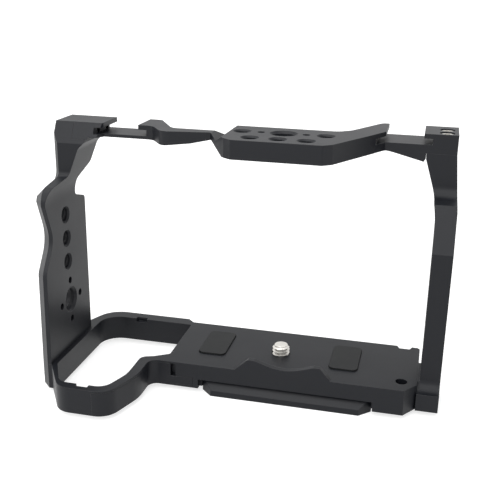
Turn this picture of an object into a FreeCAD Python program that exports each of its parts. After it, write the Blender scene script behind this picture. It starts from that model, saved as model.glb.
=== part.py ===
import FreeCAD, Part
import math
import os
import re
import Sketcher
from FreeCAD import Placement, Rotation, Vector

# A camera cage: a base with a grip ring, a left wall, a top plate and a right post, screwed together
# round a camera. X runs to the right, Y away from the viewer, Z up, all in millimetres. The origin is
# where the camera screw's axis meets the base's top face.

SIZES = {
    # Overall planes
    "cage_left": 82.5,
    "bay_left": 39.5,
    "bay_right": 50.5,
    "base_front": 18,
    "base_rear": 17.5,
    "base_thick": 9.5,
    "cage_height": 84,
    "fit_gap": 0.1,
    "over_cut": 1,
    "thread_gap": 0.05,
    # Base plate
    "base_corner_run": 4,
    "base_corner_rise": 5.8,
    "base_rear_radius": 1.5,
    "slot_centre": 44.75,
    "slot_width": 3.9,
    "slot_mouth": 5.5,
    "slot_depth": 2,
    "pin_hole_x": 45.1,
    "pin_hole_y": 11.3,
    "pin_hole_diameter": 4.2,
    # Raised front lip that stops the camera from turning
    "lip_left": 13.3,
    "lip_right": 21,
    "lip_height": 4.4,
    "lip_thick": 2,
    "lip_left_run": 4.7,
    "lip_right_run": 3.8,
    "lip_land": 2.3,
    "lip_middle": 4.4,
    "lip_dip": 3.5,
    "lip_dip_radius": 20,
    "lip_corner_radius": 0.9,
    # Dovetail rail under the base
    "rail_left": 26,
    "rail_right": 35.5,
    "rail_width": 38,
    "rail_root_width": 31.6,
    "rail_top": 5.9,
    "rail_lip": 9.1,
    "rail_bottom": 11.3,
    "rail_chamfer": 4,
    "rail_side_gap": 1,
    # Grip ring
    "ring_shoulder": 31.5,
    "ring_front": 45.8,
    "ring_front_left": 68.5,
    "ring_front_right": 50.5,
    "ring_right": 45.2,
    "ring_right_bend": 30,
    "ring_rear": 20,
    "ring_rear_left": 75.5,
    "ring_front_radius": 7,
    "ring_bend_radius": 20,
    "ring_neck_radius": 3.5,
    "ring_rear_radius": 10,
    "ring_front_wall": 3.7,
    "ring_side_wall": 3.8,
    "ring_left_wall": 6.6,
    "ring_rear_wall": 5.1,
    "ring_bay_front": 12,
    "ring_bay_step": 5,
    "ring_bay_slant": 3.3,
    "ring_inner_shoulder": 1.5,
    "ring_inner_left": 1,
    "ring_inner_right": 2.4,
    "ring_inner_bend": 1,
    "ring_inner_radius": 5,
    "ring_inner_bend_radius": 15,
    "ring_inner_neck_radius": 3,
    "ring_inner_edge_radius": 1,
    "ring_inner_rear_radius": 8,
    "ring_notch_left": 63,
    "ring_notch_width": 4.5,
    "ring_notch_depth": 1.5,
    # Grip band round the ring's front
    "band_thick": 1.8,
    "band_roof": 0.7,
    "band_start": 56.2,
    "band_end": 37.4,
    "band_recess_end": 35.5,
    "band_tongue_end": 28.9,
    "band_tongue_top": 5.5,
    "band_tongue_bottom": 8.7,
    # Rubber pads
    "pad_left_outer": 30,
    "pad_left_inner": 19.6,
    "pad_right_inner": 18.8,
    "pad_right_outer": 29.3,
    "pad_front": 8.3,
    "pad_rear": 11,
    "pad_recess": 0.8,
    "pad_proud": 0.5,
    "pad_radius": 2,
    # Left wall
    "wall_thick": 5,
    "wall_bevel": 3.5,
    "wall_lean": 0.9,
    "wall_rear": 3,
    "wall_waist_low": 34,
    "wall_waist": 44.5,
    "wall_waist_depth": 8,
    "wall_brow": 58.6,
    "wall_brow_depth": 2.6,
    "wall_shoulder": 63.4,
    "wall_shoulder_depth": 4.8,
    "wall_waist_radius": 8,
    "wall_brow_radius": 4,
    "neck_front": 14,
    "neck_foot": 65.3,
    "neck_foot_radius": 2,
    "neck_slant_drop": 7,
    "neck_slant_top": 10,
    "neck_step": 1.7,
    "neck_step_low": 52.5,
    "neck_step_high": 56,
    "bite_top": 67.2,
    "bite_upper": 62.6,
    "bite_lower": 56.2,
    "bite_bottom": 54,
    "bite_depth": 7.9,
    "bite_radius": 1.8,
    "corner_seam": 74,
    "corner_ledge_end": 69,
    "corner_ledge_drop": 5.6,
    "corner_ledge_thick": 1,
    "corner_arc_out": 2.3,
    "corner_arc_drop": 3.2,
    "corner_arc_radius": 4,
    "corner_arc_foot": 59.5,
    "corner_foot_radius": 12,
    "wall_hole_y": 13.7,
    "wall_hole_top": 50.9,
    "wall_hole_pitch": 8.85,
    "wall_large_y": 13,
    "wall_large_z": 18,
    # Threaded holes: core and mouth diameters
    "quarter_core": 5.2,
    "quarter_mouth_chamfer": 0.6,
    "large_core": 8,
    "large_mouth_chamfer": 0.8,
    "locating_pin_core": 2.6,
    "locating_pin_reach": 7.6,
    # Top plate
    "shoe_slot_width": 18.6,
    "shoe_opening": 12.7,
    "shoe_floor_drop": 3.7,
    "shoe_slot_height": 2.1,
    "shoe_bottom_drop": 4.8,
    "left_shoe_wall": 66.3,
    "left_shoe_cut": 1,
    "left_shoe_front": 9.4,
    "left_shoe_rear": 3,
    "left_lip_end": 45.3,
    "left_lip_rear_end": 46.2,
    "arm_left": 39.7,
    "arm_rear_left": 38.2,
    "arm_front": 17.6,
    "arm_front_drift": 3.1,
    "arm_rear": 10.5,
    "arm_rise_drop": 3.9,
    "arm_rise_x": 30,
    "arm_under_left": 38.7,
    "arm_end_drop": 2.4,
    "arm_curve_radius": 4,
    "groove_left": 23,
    "groove_bottom_left": 20.9,
    "groove_right": 18.2,
    "groove_depth": 2,
    "plateau_left": 18,
    "plateau_face_end": 16.9,
    "plateau_right": 17,
    "plateau_front": 24.3,
    "plateau_rear": 1,
    "plateau_drop": 6.4,
    "plateau_corner_run": 2.7,
    "plateau_corner_rise": 2,
    "plateau_radius": 1.2,
    "plateau_cut_near": 15.3,
    "plateau_cut_far": 18.2,
    "plateau_cut_rise": 2.4,
    "plateau_left_face": 23.6,
    "plateau_rear_row": 8.4,
    "plateau_front_row": 18.4,
    "plateau_hole_pitch": 9.2,
    "plateau_hole_reach": 14.1,
    "right_arm_bend_x": 28.4,
    "right_arm_bend_y": 2.2,
    "right_arm_rear_x": 21.2,
    "right_arm_rear_y": 4.7,
    "right_arm_elbow_x": 30.1,
    "right_arm_foot_run": 3,
    "right_arm_radius": 5,
    "right_shoe_wall": 29.6,
    "right_front": 6.5,
    "right_rear": 22.5,
    "right_end": 56.6,
    "haunch_tip_x": 45.7,
    "haunch_tip_drop": 9.6,
    "haunch_start": 33,
    "haunch_radius": 22,
    # Right post
    "post_seam_drop": 6.6,
    "post_top_inner": 46.3,
    "post_top_inner_drop": 8.5,
    "post_flare": 60,
    "post_flare_radius": 40,
    "post_thick": 7.8,
    "post_inset": 0.8,
    "post_foot_front": 13.3,
    "post_foot_top": 3.1,
    "post_cove": 4,
    "post_cove_radius": 3.9,
    "post_depth": 14.3,
    "post_lean_bottom": 47,
    "post_lean_top": 62,
    "post_lean_run": 7.2,
    "post_shelf_rise": 0.9,
    "post_shelf_radius": 4,
    "post_rear_bend": 45,
    "post_rear_bend_top": 60,
    "post_rear_radius": 8,
    # Camera screw and what holds it
    "screw_web": 3.8,
    "screw_bore": 6.8,
    "screw_pocket": 15,
    "screw_thread": 6.35,
    "screw_pitch": 1.27,
    "screw_thread_depth": 0.72,
    "screw_thread_crest": 0.19,
    "screw_tip_bevel": 0.2,
    "screw_height": 3.4,
    "screw_head": 14,
    "screw_head_thick": 2.6,
    "screw_neck": 5,
    "screw_socket": 4.76,
    "screw_socket_depth": 1.8,
    "washer_thick": 0.5,
    "washer_bore": 6.6,
    "ring_seat": 8.6,
    "ring_thick": 0.8,
    "ring_outer": 16.4,
    "ring_split": 3.1,
    "ring_inner": 12.4,
    "ring_groove_gap": 0.1,
    # Cap screws
    "post_screw": 2.5,
    "post_screw_length": 10,
    "post_screw_head": 4.8,
    "post_screw_head_thick": 2.4,
    "post_screw_socket": 2,
    "post_screw_sink": 0.4,
    "post_screw_x": 52.8,
    "post_screw_front": 10,
    "post_screw_rear": 16,
    "foot_screw": 3,
    "foot_screw_length": 10,
    "foot_screw_head": 5.5,
    "foot_screw_head_thick": 3,
    "foot_screw_socket": 2.5,
    "foot_screw_front": 7.4,
    "foot_screw_rear": 0.8,
    "corner_screw": 2.5,
    "corner_screw_length": 8,
    "corner_screw_head": 4.4,
    "corner_screw_head_thick": 2,
    "corner_screw_socket": 2,
    "corner_screw_front": 7,
    "corner_screw_rear": 0.6,
    "corner_screw_drop": 2.7,
    "wall_screw": 2,
    "wall_screw_length": 13,
    "wall_screw_head": 3.6,
    "wall_screw_head_thick": 1.8,
    "wall_screw_socket": 1.5,
    "wall_screw_x": 79.5,
    "wall_screw_front": 26,
    "wall_screw_rear": 4,
    "band_screw": 1.4,
    "band_screw_length": 2.2,
    "band_screw_head": 2.6,
    "band_screw_head_thick": 0.8,
    "band_screw_socket": 0.9,
    "band_screw_y": 24.2,
    "band_screw_upper": 2.9,
    "band_screw_lower": 6.9,
    "head_gap": 0.2,
}

# Levels of the cage's top, each measured down from its height.
LEVELS = {
    "shoe_floor": "cage_height - shoe_floor_drop",
    "shoe_bottom": "cage_height - shoe_bottom_drop",
    "arm_rise": "cage_height - arm_rise_drop",
    "arm_end_rise": "cage_height - arm_end_drop",
    "plateau_bottom": "cage_height - plateau_drop",
    "haunch_tip_z": "cage_height - haunch_tip_drop",
    "post_seam": "cage_height - post_seam_drop",
    "post_top_inner_z": "cage_height - post_top_inner_drop",
    "corner_ledge": "cage_height - corner_ledge_drop",
    "corner_screw_z": "cage_height - corner_screw_drop",
    "neck_slant_bottom": "cage_height - neck_slant_drop",
}

doc = FreeCAD.newDocument("CameraCage")
sheet = doc.addObject("Spreadsheet::Sheet", "Sizes")
for row, (size_name, size) in enumerate(SIZES.items(), start=1):
    sheet.set(f"A{row}", size_name)
    sheet.set(f"B{row}", str(size))
    sheet.setAlias(f"B{row}", size_name)
doc.recompute()


def formula(text):
    """The same formula, with each level spelled out and each size's name pointing at the sheet."""
    text = re.sub("[a-z_]+", lambda word: f"({LEVELS[word[0]]})" if word[0] in LEVELS else word[0], text)
    return re.sub("[a-z_]+", lambda word: f"Sizes.{word[0]}" if word[0] in SIZES else word[0], text)


def value(text):
    """What a formula comes to."""
    return float(sheet.evalExpression(formula(text)))


def new_body(label):
    """An empty sub-part."""
    body = doc.addObject("PartDesign::Body", label)
    body.Label = label
    return body


def new_sketch(body, name, plane, level):
    """A sketch on one of the body's own planes, moved along its axis to a level."""
    sketch = body.newObject("Sketcher::SketchObject", f"{body.Label}_{name}_sketch")
    support = next(item for item in body.Origin.OriginFeatures if item.Role == plane)
    sketch.AttachmentSupport = [(support, "")]
    sketch.MapMode = "FlatFace"
    sign = "-" if plane == "XZ_Plane" else ""
    sketch.setExpression("AttachmentOffset.Base.z", formula(f"{sign}({level})"))
    return sketch


def bind(sketch, kind, where, text):
    """A measured constraint that follows a formula."""
    number = sketch.addConstraint(Sketcher.Constraint(kind, *where, value(text)))
    sketch.setExpression(f"Constraints[{number}]", formula(text))


def pin_point(sketch, item, end, x, y):
    """Hold one point of a sketch at formulas for its two coordinates."""
    bind(sketch, "DistanceX", (-1, 1, item, end), x)
    bind(sketch, "DistanceY", (-1, 1, item, end), y)


def outline(sketch, corners):
    """A closed outline of straight sides. A corner's third formula is the radius that rounds it."""
    spots = [Vector(value(corner[0]), value(corner[1]), 0) for corner in corners]
    radii = [value(corner[2]) if len(corner) > 2 else 0 for corner in corners]
    count = len(corners)
    backward = [(spots[i - 1] - spots[i]).normalize() for i in range(count)]
    forward = [(spots[(i + 1) % count] - spots[i]).normalize() for i in range(count)]
    half_angle = [backward[i].getAngle(forward[i]) / 2 for i in range(count)]
    trim = [radii[i] / math.tan(half_angle[i]) for i in range(count)]
    for i in range(count):
        after = (i + 1) % count
        start = spots[i] + forward[i] * trim[i]
        stop = spots[after] + backward[after] * trim[after]
        sketch.addGeometry(Part.LineSegment(start, stop))
    for i, corner in enumerate(corners):
        side_in = (i - 1) % count
        if not radii[i]:
            sketch.addConstraint(Sketcher.Constraint("Coincident", side_in, 2, i, 1))
            pin_point(sketch, i, 1, corner[0], corner[1])
            continue
        inward = (backward[i] + forward[i]).normalize()
        centre = spots[i] + inward * (radii[i] / math.sin(half_angle[i]))
        touch_in = spots[i] + backward[i] * trim[i] - centre
        touch_out = spots[i] + forward[i] * trim[i] - centre
        turns_left = backward[i].cross(forward[i]).z < 0
        first, last = (touch_in, touch_out) if turns_left else (touch_out, touch_in)
        begin = math.atan2(first.y, first.x)
        end = math.atan2(last.y, last.x)
        circle = Part.Circle(centre, Vector(0, 0, 1), radii[i])
        arc = sketch.addGeometry(Part.ArcOfCircle(circle, begin, end if end > begin else end + 2 * math.pi))
        tip = sketch.addGeometry(Part.Point(spots[i]), True)
        sketch.addConstraint(Sketcher.Constraint("Tangent", side_in, 2, arc, 1 if turns_left else 2))
        sketch.addConstraint(Sketcher.Constraint("Tangent", i, 1, arc, 2 if turns_left else 1))
        sketch.addConstraint(Sketcher.Constraint("PointOnObject", tip, 1, side_in))
        sketch.addConstraint(Sketcher.Constraint("PointOnObject", tip, 1, i))
        bind(sketch, "Radius", (arc,), corner[2])
        pin_point(sketch, tip, 1, corner[0], corner[1])


def circles(sketch, centres, diameter):
    """Circles of one diameter at a list of centres."""
    for x, y in centres:
        middle = Vector(value(x), value(y), 0)
        item = sketch.addGeometry(Part.Circle(middle, Vector(0, 0, 1), value(diameter) / 2))
        bind(sketch, "Diameter", (item,), diameter)
        pin_point(sketch, item, 3, x, y)


def grow(body, name, kind, plane, start, stop, draw):
    """A pad or pocket of one sketch, from a start level to a higher stop level along the plane's axis."""
    sketch = new_sketch(body, name, plane, start)
    draw(sketch)
    feature = body.newObject(f"PartDesign::{kind}", f"{body.Label}_{name}")
    feature.Profile = sketch
    feature.setExpression("Length", formula(f"({stop}) - ({start})"))
    feature.Reversed = (kind == "Pad") == (plane == "XZ_Plane")
    sketch.Visibility = False
    doc.recompute()
    return feature


def pad(body, name, plane, start, stop, corners):
    """Material inside an outline."""
    return grow(body, name, "Pad", plane, start, stop, lambda sketch: outline(sketch, corners))


def cut(body, name, plane, start, stop, corners):
    """A pocket inside an outline."""
    return grow(body, name, "Pocket", plane, start, stop, lambda sketch: outline(sketch, corners))


def drill(body, name, plane, start, stop, centres, diameter):
    """Round holes."""
    return grow(body, name, "Pocket", plane, start, stop, lambda sketch: circles(sketch, centres, diameter))


def box_corners(low_x, high_x, low_y, high_y, radius=None):
    """The corners of a rectangle, rounded where a radius is given."""
    corners = [(low_x, low_y), (high_x, low_y), (high_x, high_y), (low_x, high_y)]
    return [corner + (radius,) for corner in corners] if radius else corners


def bevel(body, name, wanted, size):
    """Bevel the edges that pass a test."""
    edges = [f"Edge{number}" for number, edge in enumerate(body.Shape.Edges, start=1) if wanted(edge)]
    blank = body.Tip
    feature = body.newObject("PartDesign::Chamfer", f"{body.Label}_{name}")
    feature.Base = (blank, edges)
    feature.setExpression("Size", formula(size))
    doc.recompute()


def bevel_rims(body, name, diameter, size):
    """Bevel every round rim of one diameter, which is a threaded hole's lead-in."""
    def is_rim(edge):
        if edge.Curve.TypeId != "Part::GeomCircle" or not edge.isClosed():
            return False
        return abs(edge.Curve.Radius - value(diameter) / 2) < 0.001

    bevel(body, name, is_rim, size)


def spin(body, name, corners):
    """A solid turned round the vertical axis from a half section."""
    sketch = new_sketch(body, name, "XZ_Plane", "0")
    outline(sketch, corners)
    feature = body.newObject("PartDesign::Revolution", f"{body.Label}_{name}")
    feature.Profile = sketch
    feature.ReferenceAxis = (sketch, ["V_Axis"])
    sketch.Visibility = False
    doc.recompute()


def hexagon(across_flats):
    """The six corners of a hex socket."""
    reach = f"({across_flats}) / 2 / cos(30)"
    return [(f"{reach} * cos({angle})", f"{reach} * sin({angle})") for angle in range(0, 360, 60)]


def cap_screw(label, kind, spot, rotation):
    """A socket head screw. Its origin is under the head and its shank points down its own Z axis."""
    body = new_body(label)
    head = f"{kind}_head / 2"
    top = f"{kind}_head_thick"
    shank = f"{kind} / 2"
    bevel = f"{kind}_head / 16"
    spin(body, "blank", [
        ("0", f"-{kind}_length"),
        (f"{shank} - {bevel}", f"-{kind}_length"),
        (shank, f"-{kind}_length + {bevel}"),
        (shank, "0"),
        (head, "0"),
        (head, f"{top} - {bevel}"),
        (f"{head} - {bevel}", top),
        ("0", top),
    ])
    cut(body, "socket", "XY_Plane", f"{top} / 3", top, hexagon(f"{kind}_socket"))
    body.Placement = Placement(Vector(), rotation)
    for axis, text in zip("xyz", spot):
        body.setExpression(f"Placement.Base.{axis}", formula(text))
    return body


# The base and its grip ring are milled from one plate. The ring's inner edge follows its outer edge.
base = new_body("base_plate")
band_back = "(band_thick + fit_gap)"
slot_left = "(slot_centre - slot_mouth / 2)"
slot_right = "(slot_centre + slot_mouth / 2)"
pad(base, "slab", "XY_Plane", "-base_thick", "0", [
    ("-cage_left", "-ring_shoulder + wall_bevel"),
    ("-cage_left + wall_bevel", "-ring_shoulder"),
    ("-cage_left + wall_thick", "-ring_shoulder"),
    ("-ring_front_left", "-ring_front", "ring_front_radius"),
    ("-ring_front_right", "-ring_front", "ring_front_radius"),
    ("-ring_right", "-ring_right_bend", "ring_bend_radius"),
    ("-ring_right", "-base_front", "ring_neck_radius"),
    ("bay_right - base_corner_run", "-base_front"),
    ("bay_right", "-base_front + base_corner_rise"),
    ("bay_right", "base_rear", "base_rear_radius"),
    (slot_right, "base_rear"),
    ("slot_centre + slot_width / 2", "base_rear - slot_depth"),
    ("slot_centre - slot_width / 2", "base_rear - slot_depth"),
    (slot_left, "base_rear"),
    ("-bay_left", "base_rear"),
    ("-bay_left - ring_rear + base_rear", "ring_rear"),
    ("-ring_rear_left", "ring_rear", "ring_rear_radius"),
    ("-cage_left", "wall_rear"),
])
ring_side = "(ring_right + ring_side_wall)"
ring_hole = [
    ("-cage_left + ring_left_wall", "-ring_shoulder + ring_inner_shoulder"),
    ("-ring_front_left - ring_inner_left", "-ring_front + ring_front_wall", "ring_inner_radius"),
    ("-ring_front_right - ring_inner_right", "-ring_front + ring_front_wall", "ring_inner_radius"),
    (f"-{ring_side}", "-ring_right_bend - ring_inner_bend", "ring_inner_bend_radius"),
    (f"-{ring_side}", "-ring_bay_front - ring_bay_step", "ring_inner_neck_radius"),
    ("-bay_left - ring_bay_step", "-ring_bay_front - ring_bay_slant"),
    ("-bay_left", "-ring_bay_front", "ring_inner_edge_radius"),
    ("-bay_left", "ring_rear - ring_rear_wall", "ring_inner_edge_radius"),
    ("-cage_left + ring_left_wall", "ring_rear - ring_rear_wall", "ring_inner_rear_radius"),
]
cut(base, "ring_hole", "XY_Plane", "-base_thick", "0", ring_hole)
notch_span = ("-ring_notch_left", "-ring_notch_left + ring_notch_width")
for end, inner, outer in (
        ("rear", "ring_rear - ring_rear_wall - over_cut", "ring_rear - ring_rear_wall + ring_notch_depth"),
        ("front", "-ring_front + ring_front_wall - ring_notch_depth",
         "-ring_front + ring_front_wall + over_cut")):
    cut(base, f"notch_{end}", "XY_Plane", "-ring_notch_depth", "0", box_corners(*notch_span, inner, outer))

# The front lip is a low wall that catches the camera's front edge.
pad(base, "lip", "XZ_Plane", "-base_front", "-base_front + lip_thick", [
    ("-lip_left", "-base_thick / 2"),
    ("lip_right", "-base_thick / 2"),
    ("lip_right", "0"),
    ("lip_right - lip_right_run", "lip_height", "lip_corner_radius"),
    ("lip_right - lip_right_run - lip_land", "lip_height", "lip_corner_radius"),
    ("lip_middle", "lip_height - lip_dip", "lip_dip_radius"),
    ("-lip_left + lip_left_run + lip_land", "lip_height", "lip_corner_radius"),
    ("-lip_left + lip_left_run", "lip_height", "lip_corner_radius"),
    ("-lip_left", "0"),
])

# The rail's two flanks are cut back to a root under the base and then flare out at 45 degrees.
rail_half = "(rail_width / 2)"
root_half = "(rail_root_width / 2)"
for end, low, high in (("front", "-base_front", f"-{root_half}"), ("rear", root_half, "base_rear")):
    cut(base, f"undercut_{end}", "XY_Plane", "-base_thick", "-rail_top",
        box_corners("-rail_left - rail_side_gap", "rail_right + rail_side_gap / 2", low, high))
pad(base, "rail", "YZ_Plane", "-rail_left", "rail_right", [
    (f"-{rail_half}", "-rail_bottom"),
    (rail_half, "-rail_bottom"),
    (rail_half, "-rail_lip"),
    (root_half, "-rail_top"),
    (f"-{root_half}", "-rail_top"),
    (f"-{rail_half}", "-rail_lip"),
])
for name, x, run in (("left", "-rail_left", "rail_chamfer"), ("right", "rail_right", "-rail_chamfer")):
    for end, y, rise in (("front", f"-{rail_half}", "rail_chamfer"), ("rear", rail_half, "-rail_chamfer")):
        cut(base, f"rail_corner_{name}_{end}", "XY_Plane", "-rail_bottom", "-rail_top", [
            (x, y),
            (f"{x} + {run}", y),
            (x, f"{y} + {rise}"),
        ])


def band_plan(depth, push, end):
    """The band's plan between its outer line, pushed out a little if asked, and its back."""
    return [
        ("-band_start", f"-ring_front - {push}"),
        (f"-ring_front_right + {push}", f"-ring_front - {push}", "ring_front_radius"),
        (f"-ring_right + {push}", "-ring_right_bend", "ring_bend_radius"),
        (f"-ring_right + {push}", f"-base_front - {push}", f"ring_neck_radius - {push}"),
        (f"-{end}", f"-base_front - {push}"),
        (f"-{end}", f"-base_front + {depth}"),
        (f"-ring_right - {depth}", f"-base_front + {depth}", f"ring_neck_radius + {depth}"),
        (f"-ring_right - {depth}", "-ring_right_bend", "ring_bend_radius"),
        (f"-ring_front_right - {depth}", f"-ring_front + {depth}", f"ring_front_radius - {depth}"),
        ("-band_start", f"-ring_front + {depth}"),
    ]


# The band's seat runs round the ring's front corner and along the base's front.
cut(base, "band_seat", "XY_Plane", "-base_thick", "-band_roof", band_plan(band_back, "over_cut", "band_end"))
cut(base, "tongue_seat", "XZ_Plane", "-base_front", f"-base_front + {band_back}",
    box_corners("-band_end - over_cut", "-band_tongue_end", "-band_tongue_bottom", "-band_tongue_top"))
cut(base, "band_recess", "XZ_Plane", "-base_front", f"-base_front + {band_back}",
    box_corners("-band_end - over_cut", "-band_recess_end", "-band_tongue_top - over_cut",
                "-band_roof"))

# Pad recesses, the screw's bore and pocket, and the small hole at the right.
pads = {
    "pad_left": ("-pad_left_outer", "-pad_left_inner"),
    "pad_right": ("pad_right_inner", "pad_right_outer"),
}
for name, (low, high) in pads.items():
    cut(base, f"{name}_recess", "XY_Plane", "-pad_recess", "0",
        box_corners(low, high, "-pad_front", "pad_rear", "pad_radius"))
centre = [("0", "0")]
drill(base, "screw_bore", "XY_Plane", "-base_thick", "0", centre, "screw_bore")
drill(base, "screw_pocket", "XY_Plane", "-rail_bottom", "-screw_web", centre, "screw_pocket")
ring_seat_top = "(-ring_seat + ring_groove_gap)"
ring_seat_low = "(-ring_seat - ring_thick - ring_groove_gap)"
drill(base, "ring_groove", "XY_Plane", ring_seat_low, ring_seat_top, centre, "ring_outer + ring_groove_gap * 2")
drill(base, "pin_hole", "XY_Plane", "-base_thick", "0", [("pin_hole_x", "-pin_hole_y")], "pin_hole_diameter")


def screw_seat(body, name, plane, direction, face, centres, kind, sink, reach):
    """A head recess let in from a face, and a bore for the shank. Direction is 1 where the shank runs up."""
    seat = f"({face} + {direction} * ({sink} + {kind}_head_thick))"
    tip = f"({face} + {direction} * ({reach}))"
    span = (face, seat) if direction == 1 else (seat, face)
    bore = (face, tip) if direction == 1 else (tip, face)
    drill(body, f"{name}_head", plane, *span, centres, f"{kind}_head + head_gap * 2")
    drill(body, f"{name}_bore", plane, *bore, centres, f"{kind} + thread_gap * 2")


# Screws that hold the left wall come up through the ring, and those of the post go in at the base's end.
wall_screws = [("-wall_screw_x", "-wall_screw_front"), ("-wall_screw_x", "-wall_screw_rear")]
screw_seat(base, "wall_screw", "XY_Plane", 1, "-base_thick", wall_screws, "wall_screw", "0", "base_thick")
foot_z = "-base_thick / 2"
foot_screws = [("-foot_screw_front", foot_z), ("foot_screw_rear", foot_z)]
drill(base, "foot_screw_bore", "YZ_Plane", "bay_right - foot_screw_length", "bay_right", foot_screws,
      "foot_screw + thread_gap * 2")
band_screws = [("-band_screw_y", "-band_screw_upper"), ("-band_screw_y", "-band_screw_lower")]
screw_seat(base, "band_screw", "YZ_Plane", 1, f"-{ring_side}", band_screws, "band_screw", "0",
           "ring_side_wall")

# The band is a separate layer with a tongue that lies along the base's front.
band = new_body("grip_band")
pad(band, "wrap", "XY_Plane", "-base_thick", "-band_roof - fit_gap", band_plan("band_thick", "0", "band_end"))
pad(band, "tongue", "XZ_Plane", "-base_front", "-base_front + band_thick",
    box_corners("-band_end - over_cut", "-band_tongue_end - fit_gap", "-band_tongue_bottom + fit_gap",
                "-band_tongue_top - fit_gap"))
drill(band, "screw_bore", "YZ_Plane", "-ring_right - band_thick", "-ring_right - band_thick / 4",
      band_screws, "band_screw + thread_gap * 2")

# Rubber pads stand a little proud of the base.
for name, (low, high) in pads.items():
    rubber = new_body(name)
    pad(rubber, "sheet", "XY_Plane", "-pad_recess", "pad_proud",
        box_corners(f"{low} + fit_gap", f"{high} - fit_gap", "-pad_front + fit_gap", "pad_rear - fit_gap",
                    "pad_radius - fit_gap"))

# The left wall: its side outline is as deep as the corner block, then its section is cut along it.
wall = new_body("side_plate")
wall_front = "-ring_shoulder"
pad(wall, "outline", "YZ_Plane", "-cage_left", "-corner_ledge_end", [
    (wall_front, "0"),
    ("wall_rear", "0"),
    ("wall_rear", "bite_bottom", "bite_radius"),
    ("wall_rear - bite_depth", "bite_lower", "bite_radius"),
    ("wall_rear - bite_depth", "bite_upper", "bite_radius"),
    ("wall_rear", "bite_top", "bite_radius"),
    ("wall_rear", "cage_height"),
    ("-neck_slant_top", "cage_height"),
    ("-neck_front", "neck_slant_bottom"),
    ("-neck_front", "neck_foot", "neck_foot_radius"),
    (f"{wall_front} + wall_shoulder_depth", "wall_shoulder", "wall_brow_radius"),
    (f"{wall_front} + wall_brow_depth", "wall_brow", "wall_brow_radius"),
    (f"{wall_front} + wall_waist_depth", "wall_waist", "wall_waist_radius"),
    (f"{wall_front} + wall_lean", "wall_waist_low", "wall_waist_radius"),
])


def on_outer_front(edge):
    """Whether an edge is on the wall's outer face and on its front contour."""
    on_face = all(abs(vertex.X + value("cage_left")) < 0.001 for vertex in edge.Vertexes)
    return on_face and all(vertex.Y < -value("wall_hole_y") for vertex in edge.Vertexes)


bevel(wall, "front_bevel", on_outer_front, "wall_bevel")
cut(wall, "inside", "XZ_Plane", wall_front, "wall_rear", [
    ("-corner_ledge_end", "0"),
    ("-corner_ledge_end", "corner_ledge - corner_ledge_thick"),
    ("-corner_ledge_end - corner_arc_out", "corner_ledge - corner_arc_drop", "corner_arc_radius"),
    ("-cage_left + wall_thick", "corner_arc_foot", "corner_foot_radius"),
    ("-cage_left + wall_thick", "0"),
])
cut(wall, "top_seat", "XZ_Plane", "-neck_front", "wall_rear",
    box_corners("-corner_seam", "-corner_ledge_end", "corner_ledge", "cage_height"))
cut(wall, "outer_step", "XZ_Plane", "-neck_front", "wall_rear", [
    ("-cage_left", "neck_step_low"),
    ("-cage_left + neck_step", "neck_step_high"),
    ("-cage_left + neck_step", "cage_height"),
    ("-cage_left", "cage_height"),
])
wall_span = ("-cage_left", "-cage_left + wall_thick")
drill(wall, "quarter_holes", "YZ_Plane", *wall_span,
      [("-wall_hole_y", f"wall_hole_top - {step} * wall_hole_pitch") for step in range(3)], "quarter_core")
drill(wall, "large_hole", "YZ_Plane", *wall_span, [("-wall_large_y", "wall_large_z")], "large_core")
drill(wall, "locating_holes", "YZ_Plane", *wall_span, [
    ("-wall_large_y - locating_pin_reach", "wall_large_z"),
    ("-wall_large_y + locating_pin_reach", "wall_large_z"),
    ("-wall_large_y", "wall_large_z - locating_pin_reach"),
    ("-wall_large_y", "wall_large_z + locating_pin_reach"),
], "locating_pin_core")
bevel_rims(wall, "quarter_mouths", "quarter_core", "quarter_mouth_chamfer")
bevel_rims(wall, "large_mouths", "large_core", "large_mouth_chamfer")
drill(wall, "wall_screw_bore", "XY_Plane", "0", "wall_screw_length - base_thick + wall_screw_head_thick",
      wall_screws, "wall_screw + thread_gap * 2")
corner_screws = [("-corner_screw_front", "corner_screw_z"), ("corner_screw_rear", "corner_screw_z")]
corner_face = "(-cage_left + neck_step)"
screw_seat(wall, "corner_screw", "YZ_Plane", 1, corner_face, corner_screws, "corner_screw", "0",
           "cage_left - neck_step - corner_seam")

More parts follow.
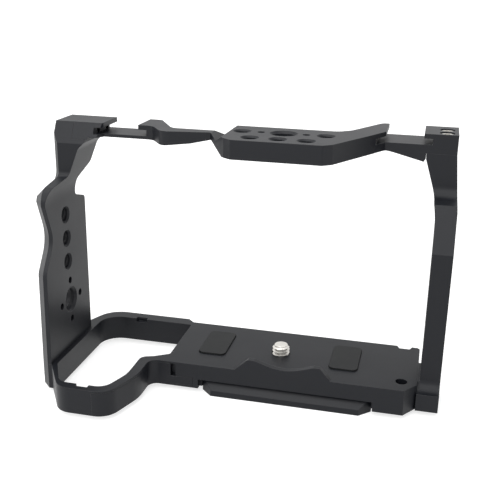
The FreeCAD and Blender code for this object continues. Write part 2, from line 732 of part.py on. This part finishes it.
# The top plate: its plan is as deep as the haunch, then its underside is cut along it.
top = new_body("top_plate")
left_lip_tip = "(left_shoe_wall - (shoe_slot_width - shoe_opening) / 2)"
right_shoe_end = "(right_shoe_wall + shoe_slot_width)"
pad(top, "plan", "XY_Plane", "haunch_tip_z", "cage_height", [
    ("-corner_seam + fit_gap / 2", "-neck_front"),
    ("-left_shoe_wall + left_shoe_cut", "-neck_front"),
    (f"-{left_lip_tip}", "-left_shoe_front"),
    ("-left_lip_end", "-left_shoe_front", "arm_curve_radius"),
    ("-arm_left", "-arm_front", "arm_curve_radius"),
    ("-plateau_left_face", "-arm_front + arm_front_drift"),
    ("-plateau_face_end", "-plateau_front + plateau_corner_rise"),
    ("-plateau_face_end + plateau_corner_run", "-plateau_front", "plateau_radius"),
    ("plateau_cut_near", "-plateau_front", "plateau_radius"),
    ("plateau_cut_far", "-plateau_front + plateau_cut_rise", "plateau_radius"),
    ("right_arm_bend_x", "-right_arm_bend_y"),
    ("right_shoe_wall + right_arm_foot_run", "right_front", "right_arm_radius / 4"),
    ("right_end", "right_front"),
    ("right_end", "right_rear"),
    ("right_arm_elbow_x", "right_rear", "right_arm_radius / 2"),
    ("right_arm_rear_x", "right_arm_rear_y", "right_arm_radius"),
    ("plateau_right", "plateau_rear", "right_arm_radius"),
    ("-plateau_left", "plateau_rear"),
    ("-groove_left", "-arm_rear"),
    ("-arm_rear_left", "-arm_rear", "arm_curve_radius"),
    ("-left_lip_rear_end", "left_shoe_rear", "arm_curve_radius / 2"),
    ("-corner_seam + fit_gap / 2", "left_shoe_rear"),
])
low = "haunch_tip_z"
cut(top, "underside_left", "XZ_Plane", "-plateau_front", "right_rear", [
    ("-corner_seam", low),
    ("-plateau_left", low),
    ("-plateau_left", "plateau_bottom"),
    ("-groove_left", "arm_end_rise"),
    ("-arm_rise_x", "arm_rise"),
    ("-arm_under_left", "shoe_bottom"),
    ("-corner_ledge_end + over_cut", "shoe_bottom"),
    ("-corner_ledge_end + over_cut", "corner_ledge"),
    ("-corner_seam", "corner_ledge"),
])
cut(top, "underside_right", "XZ_Plane", "-plateau_front", "right_rear", [
    ("-plateau_left", low),
    ("haunch_tip_x", low),
    ("haunch_start", "plateau_bottom", "haunch_radius"),
    ("-plateau_left", "plateau_bottom"),
])
cut(top, "post_seat", "XZ_Plane", "right_front", "right_rear", [
    ("haunch_tip_x", low),
    ("right_end", low),
    ("right_end", "post_seam"),
    ("post_top_inner", "post_seam"),
    ("post_top_inner", "post_top_inner_z"),
])
cut(top, "groove", "XZ_Plane", "-plateau_front", "right_rear", [
    ("-groove_left", "cage_height"),
    ("-groove_bottom_left", "cage_height - groove_depth"),
    ("-groove_right", "cage_height"),
])
cut(top, "front_slant", "YZ_Plane", "-corner_seam", f"-{left_lip_tip}", [
    ("-neck_front", "cage_height"),
    ("-neck_front", "neck_slant_bottom"),
    ("-neck_slant_top", "cage_height"),
])
slot_top = "(shoe_floor + shoe_slot_height)"
for name, left, front, rear in (
        ("left_shoe", "-left_shoe_wall", "-neck_front", "left_shoe_rear"),
        ("right_shoe", "right_shoe_wall", "-right_arm_bend_y", "right_rear")):
    inset = "(shoe_slot_width - shoe_opening) / 2"
    cut(top, f"{name}_slot", "XZ_Plane", front, rear, [
        (left, "shoe_floor"),
        (f"{left} + shoe_slot_width", "shoe_floor"),
        (f"{left} + shoe_slot_width", slot_top),
        (f"{left} + shoe_slot_width - {inset}", slot_top),
        (f"{left} + shoe_slot_width - {inset}", "cage_height"),
        (f"{left} + {inset}", "cage_height"),
        (f"{left} + {inset}", slot_top),
        (left, slot_top),
    ])
plateau_span = ("plateau_bottom", "cage_height")
drill(top, "quarter_holes", "XY_Plane", *plateau_span, [
    ("-plateau_hole_reach", "-plateau_rear_row"),
    ("plateau_hole_reach", "-plateau_rear_row"),
    ("-plateau_hole_pitch", "-plateau_front_row"),
    ("0", "-plateau_front_row"),
    ("plateau_hole_pitch", "-plateau_front_row"),
], "quarter_core")
drill(top, "large_hole", "XY_Plane", *plateau_span, [("0", "-plateau_rear_row")], "large_core")
drill(top, "locating_holes", "XY_Plane", *plateau_span, [
    ("-locating_pin_reach", "-plateau_rear_row"),
    ("locating_pin_reach", "-plateau_rear_row"),
], "locating_pin_core")
bevel_rims(top, "quarter_mouths", "quarter_core", "quarter_mouth_chamfer")
bevel_rims(top, "large_mouths", "large_core", "large_mouth_chamfer")
post_screws = [("post_screw_x", "post_screw_front"), ("post_screw_x", "post_screw_rear")]
screw_seat(top, "post_screw", "XY_Plane", -1, "cage_height", post_screws, "post_screw", "post_screw_sink",
           "cage_height - post_seam")
drill(top, "corner_screw_bore", "YZ_Plane", "-corner_seam", "-left_shoe_wall", corner_screws,
      "corner_screw + thread_gap * 2")

# The right post: its section is as deep as the cage's right side, then its front and rear are cut.
post = new_body("side_post")
post_outer = "(bay_right + post_thick)"
pad(post, "section", "XZ_Plane", "-post_foot_front", "right_rear", [
    ("bay_right", "-base_thick"),
    (post_outer, "-base_thick"),
    (post_outer, "post_flare"),
    ("right_end", "post_seam"),
    ("post_top_inner + fit_gap", "post_seam"),
    ("post_top_inner + fit_gap", "post_top_inner_z"),
    ("bay_right + post_inset", "post_flare", "post_flare_radius"),
    ("bay_right + post_inset", "0"),
    ("bay_right", "0"),
])
post_face = "(-post_foot_front + post_cove)"
cut(post, "front", "YZ_Plane", "post_top_inner", post_outer, [
    ("-post_foot_front", "-post_foot_top"),
    (post_face, "-post_foot_top", "post_cove_radius"),
    (post_face, "post_lean_bottom"),
    (f"{post_face} + post_lean_run", "post_lean_top"),
    ("right_front", "post_lean_top + post_shelf_rise", "post_shelf_radius"),
    ("right_front", "post_seam"),
    ("-post_foot_front", "post_seam"),
])
post_back = f"({post_face} + post_depth)"
cut(post, "rear", "YZ_Plane", "post_top_inner", post_outer, [
    (post_back, "-base_thick"),
    ("right_rear", "-base_thick"),
    ("right_rear", "post_rear_bend_top"),
    (post_back, "post_rear_bend", "post_rear_radius"),
])
screw_seat(post, "foot_screw", "YZ_Plane", -1, post_outer, foot_screws, "foot_screw", "0", "post_thick")
drill(post, "post_screw_bore", "XY_Plane", "post_seam - post_screw_length", "post_seam", post_screws,
      "post_screw + thread_gap * 2")

# The camera screw is shown dropped onto its retaining ring. Its turns are a stack of V ridges.
camera_screw = new_body("camera_screw")
head_low = "(-ring_seat + fit_gap)"
head_top = f"({head_low} + screw_head_thick)"
crest = "screw_thread / 2"
root = "(screw_thread / 2 - screw_thread_depth)"
TURNS = 5
thread_side = []
for turn in range(TURNS):
    root_level = f"screw_height - ({turn} + 1 / 2) * screw_pitch"
    thread_side.append((root, root_level))
    thread_side.append((crest, f"{root_level} - (screw_pitch - screw_thread_crest) / 2"))
    thread_side.append((crest, f"{root_level} - (screw_pitch + screw_thread_crest) / 2"))
thread_side.append((root, f"screw_height - ({TURNS} + 1 / 2) * screw_pitch"))
spin(camera_screw, "blank", [
    ("0", head_low),
    ("screw_head / 2", head_low),
    ("screw_head / 2", head_top),
    ("screw_neck / 2", head_top),
    *[(x, z) for x, z in reversed(thread_side)],
    (f"{root} - screw_tip_bevel", "screw_height"),
    ("0", "screw_height"),
])
cut(camera_screw, "socket", "XY_Plane", head_low, f"{head_low} + screw_socket_depth", hexagon("screw_socket"))

# The washer rides on the screw's head, and the retaining ring closes the pocket below them.
washer = new_body("screw_washer")
spin(washer, "blank", [
    ("washer_bore / 2", head_top),
    ("screw_head / 2", head_top),
    ("screw_head / 2", f"{head_top} + washer_thick"),
    ("washer_bore / 2", f"{head_top} + washer_thick"),
])
ring = new_body("screw_retaining_ring")
spin(ring, "blank", [
    ("ring_inner / 2", "-ring_seat - ring_thick"),
    ("ring_outer / 2", "-ring_seat - ring_thick"),
    ("ring_outer / 2", "-ring_seat"),
    ("ring_inner / 2", "-ring_seat"),
])
cut(ring, "split", "XY_Plane", "-ring_seat - ring_thick", "-ring_seat",
    box_corners("-ring_split / 2", "ring_split / 2", "ring_inner / 4", "ring_outer"))

# Fasteners: each head sits on the floor of its recess.
down = Rotation()
up = Rotation(Vector(1, 0, 0), 180)
leftward = Rotation(Vector(0, 1, 0), 90)
rightward = Rotation(Vector(0, 1, 0), -90)
post_head = "cage_height - post_screw_sink - post_screw_head_thick"
foot_head = f"{post_outer} - foot_screw_head_thick"
corner_head = f"{corner_face} + corner_screw_head_thick"
wall_head = "-base_thick + wall_screw_head_thick"
band_head = f"-{ring_side} + band_screw_head_thick"
for name, place in zip(("front", "rear"), post_screws):
    cap_screw(f"post_top_screw_{name}", "post_screw", (*place, post_head), down)
for name, place in zip(("front", "rear"), foot_screws):
    cap_screw(f"post_foot_screw_{name}", "foot_screw", (foot_head, *place), leftward)
for name, place in zip(("front", "rear"), corner_screws):
    cap_screw(f"corner_screw_{name}", "corner_screw", (corner_head, *place), rightward)
for name, place in zip(("front", "rear"), wall_screws):
    cap_screw(f"wall_screw_{name}", "wall_screw", (*place, wall_head), up)
for name, place in zip(("upper", "lower"), band_screws):
    cap_screw(f"band_screw_{name}", "band_screw", (band_head, *place), rightward)

# Test everything before a file is written.
doc.recompute()
for item in doc.Objects:
    if "Invalid" in item.State or "Error" in item.State:
        raise RuntimeError(f"{item.Name} failed: {item.State}")
    if item.TypeId == "PartDesign::Pocket" and item.Shape.Volume >= item.BaseFeature.Shape.Volume - 0.001:
        raise RuntimeError(f"{item.Name} cuts nothing")
bodies = [item for item in doc.Objects if item.TypeId == "PartDesign::Body"]
for body in bodies:
    if body.Shape.isNull() or not body.Shape.isValid() or len(body.Shape.Solids) != 1:
        raise RuntimeError(f"{body.Label} is not one valid solid")

os.makedirs("parts", exist_ok=True)
for body in bodies:
    body.Shape.exportStep(f"parts/{body.Label}.step")
    print(body.Label, round(body.Shape.Volume, 1), body.Shape.BoundBox)
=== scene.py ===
import math

import bpy
from mathutils import Matrix, Vector


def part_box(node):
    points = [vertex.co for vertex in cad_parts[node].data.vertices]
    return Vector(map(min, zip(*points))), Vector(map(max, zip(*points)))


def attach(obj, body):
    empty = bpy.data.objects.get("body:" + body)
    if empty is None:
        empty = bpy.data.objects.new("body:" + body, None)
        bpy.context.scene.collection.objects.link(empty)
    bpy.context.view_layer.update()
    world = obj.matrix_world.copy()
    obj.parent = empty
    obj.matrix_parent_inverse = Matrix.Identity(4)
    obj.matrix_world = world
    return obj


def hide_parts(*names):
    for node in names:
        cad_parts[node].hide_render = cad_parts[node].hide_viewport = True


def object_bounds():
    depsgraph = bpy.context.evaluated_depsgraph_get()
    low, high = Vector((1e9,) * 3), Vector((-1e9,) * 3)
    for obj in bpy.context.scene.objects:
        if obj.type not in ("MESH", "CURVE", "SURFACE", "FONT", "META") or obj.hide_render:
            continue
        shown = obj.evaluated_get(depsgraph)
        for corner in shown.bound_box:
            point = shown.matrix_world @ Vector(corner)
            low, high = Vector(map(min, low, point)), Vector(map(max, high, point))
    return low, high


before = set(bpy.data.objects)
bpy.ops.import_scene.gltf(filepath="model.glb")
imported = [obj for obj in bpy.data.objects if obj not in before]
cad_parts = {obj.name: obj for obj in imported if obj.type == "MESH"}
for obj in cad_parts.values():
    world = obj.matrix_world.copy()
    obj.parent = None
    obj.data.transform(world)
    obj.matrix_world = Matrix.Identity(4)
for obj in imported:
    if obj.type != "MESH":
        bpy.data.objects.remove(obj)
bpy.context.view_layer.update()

# Studio: a wide pale floor, a large softbox overhead, three weaker ones round the object, and a
# camera at the photograph's angle. Far floor and sky look white to the camera and in reflections,
# and the floor near the object is greyer, so that it keeps the object's shadow.
MM = 0.001
FLOOR_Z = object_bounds()[0][2]
FLOOR_HALF = 8.0
GREY_FLOOR = 0.2
WHITE_FLOOR = 1.0
NEAR_GLOW = 0.7


class Wire:
    """A socket in a node tree, with Python's operators adding Math nodes."""

    def __init__(self, tree, socket):
        self.tree = tree
        self.socket = socket

    def add(self, kind, settings=None, **inputs):
        """Any node, by its type, with its settings and then its inputs. Returns its first output."""
        node = self.tree.nodes.new(kind)
        for name, setting in (settings or {}).items():
            setattr(node, name, setting)
        for name, given in inputs.items():
            key = int(name[1:]) if name[0] == "_" else name.replace("_", " ")
            if isinstance(given, Wire):
                self.tree.links.new(given.socket, node.inputs[key])
            else:
                node.inputs[key].default_value = given
        return Wire(self.tree, node.outputs[0])

    def maths(self, operation, *values):
        inputs = {f"_{index}": value for index, value in enumerate(values)}
        return self.add("ShaderNodeMath", {"operation": operation}, **inputs)

    def __add__(self, other):
        return self.maths("ADD", self, other)

    def __mul__(self, other):
        return self.maths("MULTIPLY", self, other)

    __radd__ = __add__
    __rmul__ = __mul__

    def output(self, key):
        """Another output of this wire's node, by its name or number."""
        return Wire(self.tree, self.socket.node.outputs[key])


def white_to_lenses(tree):
    """A factor of one on camera, glossy and transmission rays."""
    path = Wire(tree, None).add("ShaderNodeLightPath")
    seen = path.maths("MAXIMUM", path.output("Is Camera Ray"), path.output("Is Glossy Ray"))
    return seen.maths("MAXIMUM", seen, path.output("Is Transmission Ray"))


def lay_floor():
    bpy.ops.object.select_all(action="DESELECT")
    bpy.ops.mesh.primitive_plane_add(size=FLOOR_HALF * 2, location=(0, 0, FLOOR_Z))
    floor = bpy.context.object
    floor.name = "studio_floor"
    bpy.ops.object.transform_apply(location=True)
    paint = bpy.data.materials.new("pale_floor")
    paint.use_nodes = True
    tree = paint.node_tree
    bsdf = tree.nodes["Principled BSDF"]
    bsdf.inputs["Base Color"].default_value = (0.5, 0.5, 0.5, 1)
    bsdf.inputs["Roughness"].default_value = 0.9
    bsdf.inputs["Specular IOR Level"].default_value = 0.1
    bsdf.inputs["Emission Strength"].default_value = 1
    start = Wire(tree, None)
    place = start.add("ShaderNodeTexCoord").output("Object")
    reach = start.add("ShaderNodeVectorMath", {"operation": "LENGTH"}, _0=place).output("Value")
    glow = start.add("ShaderNodeMapRange", Value=reach, From_Min=GREY_FLOOR, From_Max=WHITE_FLOOR,
                     To_Min=NEAR_GLOW, To_Max=1.0)
    tree.links.new((white_to_lenses(tree) * glow).socket, bsdf.inputs["Emission Color"])
    floor.data.materials.append(paint)


def light_sky():
    world = bpy.data.worlds.new("studio_sky")
    world.use_nodes = True
    bpy.context.scene.world = world
    tree = world.node_tree
    back = tree.nodes["Background"]
    tone = white_to_lenses(tree) * 0.5 + 0.5
    tree.links.new(tone.socket, back.inputs["Color"])


def hang_softbox(name, place, aim, width, power):
    lamp = bpy.data.lights.new(name, "AREA")
    lamp.size = width
    lamp.energy = power
    item = bpy.data.objects.new(name, lamp)
    item.location = place
    item.rotation_euler = (Vector(aim) - Vector(place)).to_track_quat("-Z", "Y").to_euler()
    bpy.context.scene.collection.objects.link(item)


def place_camera():
    yaw, pitch, roll = (math.radians(angle) for angle in (12.93, 19.01, 1.1))
    ahead = Vector((-math.sin(yaw) * math.cos(pitch), math.cos(yaw) * math.cos(pitch), -math.sin(pitch)))
    level = Vector((math.cos(yaw), math.sin(yaw), 0))
    above = level.cross(ahead)
    right = math.cos(roll) * level + math.sin(roll) * above
    up = math.cos(roll) * above - math.sin(roll) * level
    lens = bpy.data.cameras.new("camera")
    focal_pixels = 802
    frame_pixels = 500
    lens.sensor_width = 36
    lens.lens = lens.sensor_width * focal_pixels / frame_pixels
    lens.clip_start = 10 * MM
    item = bpy.data.objects.new("camera", lens)
    turn = Matrix((right, up, -ahead)).transposed().to_4x4()
    place = Vector((48.7, -267.1, 133.7)) * MM
    item.matrix_world = Matrix.Translation(place) @ turn
    bpy.context.scene.collection.objects.link(item)
    bpy.context.scene.camera = item


lay_floor()
light_sky()
# Each softbox has its place, the spot it points at, its width in metres and its power in watts.
hang_softbox("softbox_overhead", (-0.15, -0.12, 0.95), (0, 0, 0.03), width=1.1, power=7.5)
hang_softbox("softbox_front", (-0.25, -1.0, 0.72), (0, 0, 0.03), width=0.7, power=7)
hang_softbox("softbox_left", (-0.85, 0.1, 0.3), (0, 0, 0.04), width=0.6, power=2.2)
hang_softbox("softbox_right", (0.85, -0.1, 0.4), (0, 0, 0.04), width=0.5, power=1.0)
place_camera()
bpy.context.scene.view_settings.view_transform = "Standard"

# Black anodised aluminium: every milled piece of the cage is bead-blasted and dyed black, so it has
# a fine even grain, a soft sheen that pales at grazing angles, and slightly worn, paler edges.
DYE_BLACK = (0.0052, 0.006, 0.0085)
BAND_BLACK = (0.006, 0.0067, 0.0092)
WORN_GREY = (0.05, 0.052, 0.055)


def new_paint(name):
    paint = bpy.data.materials.new(name)
    paint.use_nodes = True
    tree = paint.node_tree
    return tree, Wire(tree, None), tree.nodes["Principled BSDF"]


def rounded_normal(start, radius, grain, strength, distance):
    """Edges that catch light as if eased, with a fine grain over them."""
    eased = start.add("ShaderNodeBevel", {"samples": 6}, Radius=radius)
    return start.add("ShaderNodeBump", Height=grain, Strength=strength, Distance=distance, Normal=eased)


def edge_mask(start, radius):
    """Zero on a flat face, and up to one where an eased normal turns away from the true one."""
    eased = start.add("ShaderNodeBevel", {"samples": 6}, Radius=radius)
    true = start.add("ShaderNodeNewGeometry").output("Normal")
    turned = start.add("ShaderNodeVectorMath", {"operation": "DOT_PRODUCT"}, _0=eased, _1=true)
    return start.add("ShaderNodeMapRange", Value=turned.output("Value"), From_Min=0.995, From_Max=0.86)


def anodised(name, dye, sheen_level):
    tree, start, bsdf = new_paint(name)
    place = start.add("ShaderNodeTexCoord").output("Object")
    grain = start.add("ShaderNodeTexNoise", Vector=place, Scale=5200, Detail=3)
    cloud = start.add("ShaderNodeTexNoise", Vector=place, Scale=55, Detail=4)
    worn = edge_mask(start, 0.22 * MM) * (cloud * 1.1)
    base = start.add("ShaderNodeMix", {"data_type": "RGBA"}, _0=worn * 0.8, _6=(*dye, 1),
                     _7=(*WORN_GREY, 1))
    tree.links.new(base.output(2).socket, bsdf.inputs["Base Color"])
    roughness = cloud * 0.1 + 0.36 + grain * 0.06
    tree.links.new(roughness.socket, bsdf.inputs["Roughness"])
    bsdf.inputs["Specular IOR Level"].default_value = sheen_level
    normal = rounded_normal(start, 0.25 * MM, grain, 0.25, 0.02 * MM)
    tree.links.new(normal.socket, bsdf.inputs["Normal"])
    return bpy.data.materials[name]


BLACK_METAL = anodised("black_anodised", DYE_BLACK, 0.26)


def dress(node, paint):
    """Give one milled or turned piece its finish."""
    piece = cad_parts[node]
    piece.data.materials.clear()
    piece.data.materials.append(paint)


# Base and grip ring: one milled plate with the raised lip, the undercut rail and the ring that the
# camera's grip passes through. The band round the ring's front is a layer of the same metal, dyed
# a touch paler.
dress("base_plate", BLACK_METAL)
dress("grip_band", anodised("band_anodised", BAND_BLACK, 0.25))

# Rubber pads: two moulded sheets let into the base. They are matt and a shade paler than the metal,
# with faint smudges and a painted shadow line round the rim, where the gap round each pad would shade
# it.
RUBBER_BLACK = (0.008, 0.0085, 0.009)
RUBBER_SMUDGE = (0.013, 0.014, 0.0145)
# Painted shade: near-black for the shadow of the gap round each pad, laid on the pad's rim.
GAP_SHADOW_BLACK = (0.004, 0.004, 0.005)


def moulded_rubber():
    tree, start, bsdf = new_paint("pad_rubber")
    place = start.add("ShaderNodeTexCoord").output("Object")
    grain = start.add("ShaderNodeTexNoise", Vector=place, Scale=3400, Detail=2)
    smudge = start.add("ShaderNodeTexNoise", Vector=place, Scale=130, Detail=3)
    shade = start.add("ShaderNodeMix", {"data_type": "RGBA"}, _0=smudge, _6=(*RUBBER_BLACK, 1),
                      _7=(*RUBBER_SMUDGE, 1))
    # Painted shadow: the pad's rim is darkened towards near-black to stand in for the shade in the gap
    # round the pad.
    gap_shadow_mask = edge_mask(start, 0.5 * MM)
    with_gap_shadow = start.add("ShaderNodeMix", {"data_type": "RGBA"}, _0=gap_shadow_mask, _6=shade.output(2),
                      _7=(*GAP_SHADOW_BLACK, 1))
    tree.links.new(with_gap_shadow.output(2).socket, bsdf.inputs["Base Color"])
    tree.links.new((smudge * 0.15 + 0.5).socket, bsdf.inputs["Roughness"])
    bsdf.inputs["Specular IOR Level"].default_value = 0.22
    normal = rounded_normal(start, 0.3 * MM, grain, 0.35, 0.03 * MM)
    tree.links.new(normal.socket, bsdf.inputs["Normal"])
    return bpy.data.materials["pad_rubber"]


PAD_RUBBER = moulded_rubber()
for pad in ("pad_left", "pad_right"):
    dress(pad, PAD_RUBBER)

# Steel: the top and corner screws and the washer are plated and bright, with a fine uneven grain
# and a little dirt. The other screws and the retaining ring are black oxide.
DIRT_SHADE = 0.6


def plated_steel(name, colour, roughness_low):
    tree, start, bsdf = new_paint(name)
    place = start.add("ShaderNodeTexCoord").output("Object")
    marks = start.add("ShaderNodeTexNoise", Vector=place, Scale=2600, Detail=4)
    dirt = start.add("ShaderNodeTexNoise", Vector=place, Scale=420, Detail=3)
    dark = tuple(DIRT_SHADE * shade for shade in colour)
    tone = start.add("ShaderNodeMix", {"data_type": "RGBA"}, _0=dirt, _6=(*colour, 1), _7=(*dark, 1))
    tree.links.new(tone.output(2).socket, bsdf.inputs["Base Color"])
    bsdf.inputs["Metallic"].default_value = 1
    tree.links.new((marks * 0.2 + roughness_low).socket, bsdf.inputs["Roughness"])
    normal = rounded_normal(start, 0.12 * MM, marks, 0.3, 0.01 * MM)
    tree.links.new(normal.socket, bsdf.inputs["Normal"])
    return bpy.data.materials[name]


BRIGHT_STEEL = plated_steel("bright_steel", (0.72, 0.7, 0.64), 0.2)
DARK_STEEL = plated_steel("black_oxide_steel", (0.045, 0.045, 0.05), 0.3)
for screw in ("post_top_screw_front", "post_top_screw_rear", "corner_screw_front", "corner_screw_rear",
              "screw_washer"):
    dress(screw, BRIGHT_STEEL)
for screw in ("post_foot_screw_front", "post_foot_screw_rear", "wall_screw_front", "wall_screw_rear",
              "band_screw_upper", "band_screw_lower", "screw_retaining_ring"):
    dress(screw, DARK_STEEL)

# Camera screw: a turned head with a hex socket under the base, a plain neck, and a quarter-inch
# thread cut as one real helix that stands through the base.
HELIX_STEPS = 40
QUARTER_PITCH = 1.27 * MM


def finish_piece(parts, name, body, paint):
    """Join parts into one named piece at the origin, with its finish, riding a body."""
    bpy.ops.object.select_all(action="DESELECT")
    for part in parts:
        part.select_set(True)
    bpy.context.view_layer.objects.active = parts[0]
    if len(parts) > 1:
        bpy.ops.object.join()
    piece = bpy.context.object
    piece.name = name
    bpy.ops.object.transform_apply(location=True, rotation=True, scale=True)
    bpy.ops.object.shade_smooth_by_angle(angle=math.radians(35))
    piece.data.materials.clear()
    piece.data.materials.append(paint)
    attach(piece, body)
    return piece


def add_modifier(item, kind, **settings):
    """Add a modifier with its settings and apply it."""
    bpy.ops.object.select_all(action="DESELECT")
    item.select_set(True)
    bpy.context.view_layer.objects.active = item
    bpy.ops.object.modifier_add(type=kind)
    modifier = item.modifiers[-1]
    for name, setting in settings.items():
        setattr(modifier, name, setting)
    bpy.ops.object.modifier_apply(modifier=modifier.name)


def turned_bar(radius, low, high, sides, ease):
    """A round or many-sided bar on the Z axis, with eased rims where ease isn't zero."""
    bpy.ops.object.select_all(action="DESELECT")
    middle = (low + high) / 2
    bpy.ops.mesh.primitive_cylinder_add(vertices=sides, radius=radius, depth=high - low,
                                        location=(0, 0, middle))
    bar = bpy.context.object
    if ease:
        add_modifier(bar, "BEVEL", width=ease, segments=3)
    return bar


def helix_ridge(tip_radius, ridge, flatness, inward, pitch, turns, low):
    """A three-sided ridge wound round the Z axis as one helix, with its point out or in."""
    side = -1 if inward else 1
    bpy.ops.object.select_all(action="DESELECT")
    bpy.ops.mesh.primitive_circle_add(vertices=3, radius=ridge, fill_type="NOTHING",
                                      rotation=(math.pi / 2, side * math.pi / 2, 0))
    item = bpy.context.object
    bpy.ops.object.transform_apply(rotation=True)
    item.scale = (flatness, 1, 1)
    item.location = (tip_radius - side * ridge * flatness, 0, low)
    bpy.ops.object.transform_apply(location=True, scale=True)
    add_modifier(item, "SCREW", axis="Z", angle=math.tau, screw_offset=pitch, iterations=turns,
                 steps=HELIX_STEPS, render_steps=HELIX_STEPS)
    return item


screw_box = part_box("camera_screw")
screw_low, screw_tip = screw_box[0][2], screw_box[1][2]
head_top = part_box("screw_washer")[0][2]
socket_radius = 2.75 * MM
socket_depth = 1.8 * MM
core_radius = 2.45 * MM
crest_radius = 3.17 * MM
ridge_size = 0.73 * MM
thread_turns = 5
thread_reach = 6.9 * MM
join_overlap = 0.1 * MM
head = turned_bar(screw_box[1][0], screw_low, head_top, 96, 0.25 * MM)
socket = turned_bar(socket_radius, screw_low - 1 * MM, screw_low + socket_depth, 6, 0)
add_modifier(head, "BOOLEAN", operation="DIFFERENCE", object=socket)
bpy.ops.object.select_all(action="DESELECT")
socket.select_set(True)
bpy.ops.object.delete()
core = turned_bar(core_radius, head_top - join_overlap, screw_tip, 64, 0.2 * MM)
thread = helix_ridge(crest_radius, ridge_size, 1, False, QUARTER_PITCH, thread_turns,
                     screw_tip - thread_reach)
camera_screw = finish_piece([head, core, thread], "camera_screw_turned", "camera_screw",
                            BRIGHT_STEEL)
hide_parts("camera_screw")

# Side wall, top plate and post: milled separately and screwed together, in the same black finish.
# Their threaded holes have a helical ridge inside, quarter-inch or 3/8 inch by the hole.
for plate in ("side_plate", "top_plate", "side_post"):
    dress(plate, BLACK_METAL)


def line_hole(name, centre, turn, hole_radius, pitch, turns):
    """Line one threaded hole with its ridge, half of its length each side of the hole's middle."""
    ridge_inset = 0.2 * MM
    flatness = 0.4
    ridge = helix_ridge(hole_radius - ridge_inset, pitch / 2, flatness, True, pitch, turns,
                        -pitch * turns / 2)
    ridge.location = centre
    ridge.rotation_euler = turn
    finish_piece([ridge], name, "cage", BLACK_METAL)


QUARTER_CORE = 2.6 * MM
LARGE_CORE = 4 * MM
LARGE_PITCH = 1.5875 * MM
ALONG_X = (0, math.pi / 2, 0)
UPRIGHT = (0, 0, 0)
wall_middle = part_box("side_plate")[0][0] + 2.5 * MM
wall_hole_y = -13.7 * MM
wall_hole_top = 50.9 * MM
wall_hole_pitch = 8.85 * MM
for row in range(3):
    centre = (wall_middle, wall_hole_y, wall_hole_top - row * wall_hole_pitch)
    line_hole(f"wall_thread_{row}", centre, ALONG_X, QUARTER_CORE, QUARTER_PITCH, 3)
wall_large = (wall_middle, -13 * MM, 18 * MM)
line_hole("wall_thread_large", wall_large, ALONG_X, LARGE_CORE, LARGE_PITCH, 2)
top_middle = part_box("top_plate")[1][2] - 3.2 * MM
rear_row = -8.4 * MM
front_row = -18.4 * MM
rear_reach = 14.1 * MM
front_pitch = 9.2 * MM
top_holes = [(-rear_reach, rear_row), (rear_reach, rear_row),
             (-front_pitch, front_row), (0, front_row), (front_pitch, front_row)]
for number, (x, y) in enumerate(top_holes):
    line_hole(f"top_thread_{number}", (x, y, top_middle), UPRIGHT, QUARTER_CORE, QUARTER_PITCH, 4)
line_hole("top_thread_large", (0, rear_row, top_middle), UPRIGHT, LARGE_CORE, LARGE_PITCH, 3)
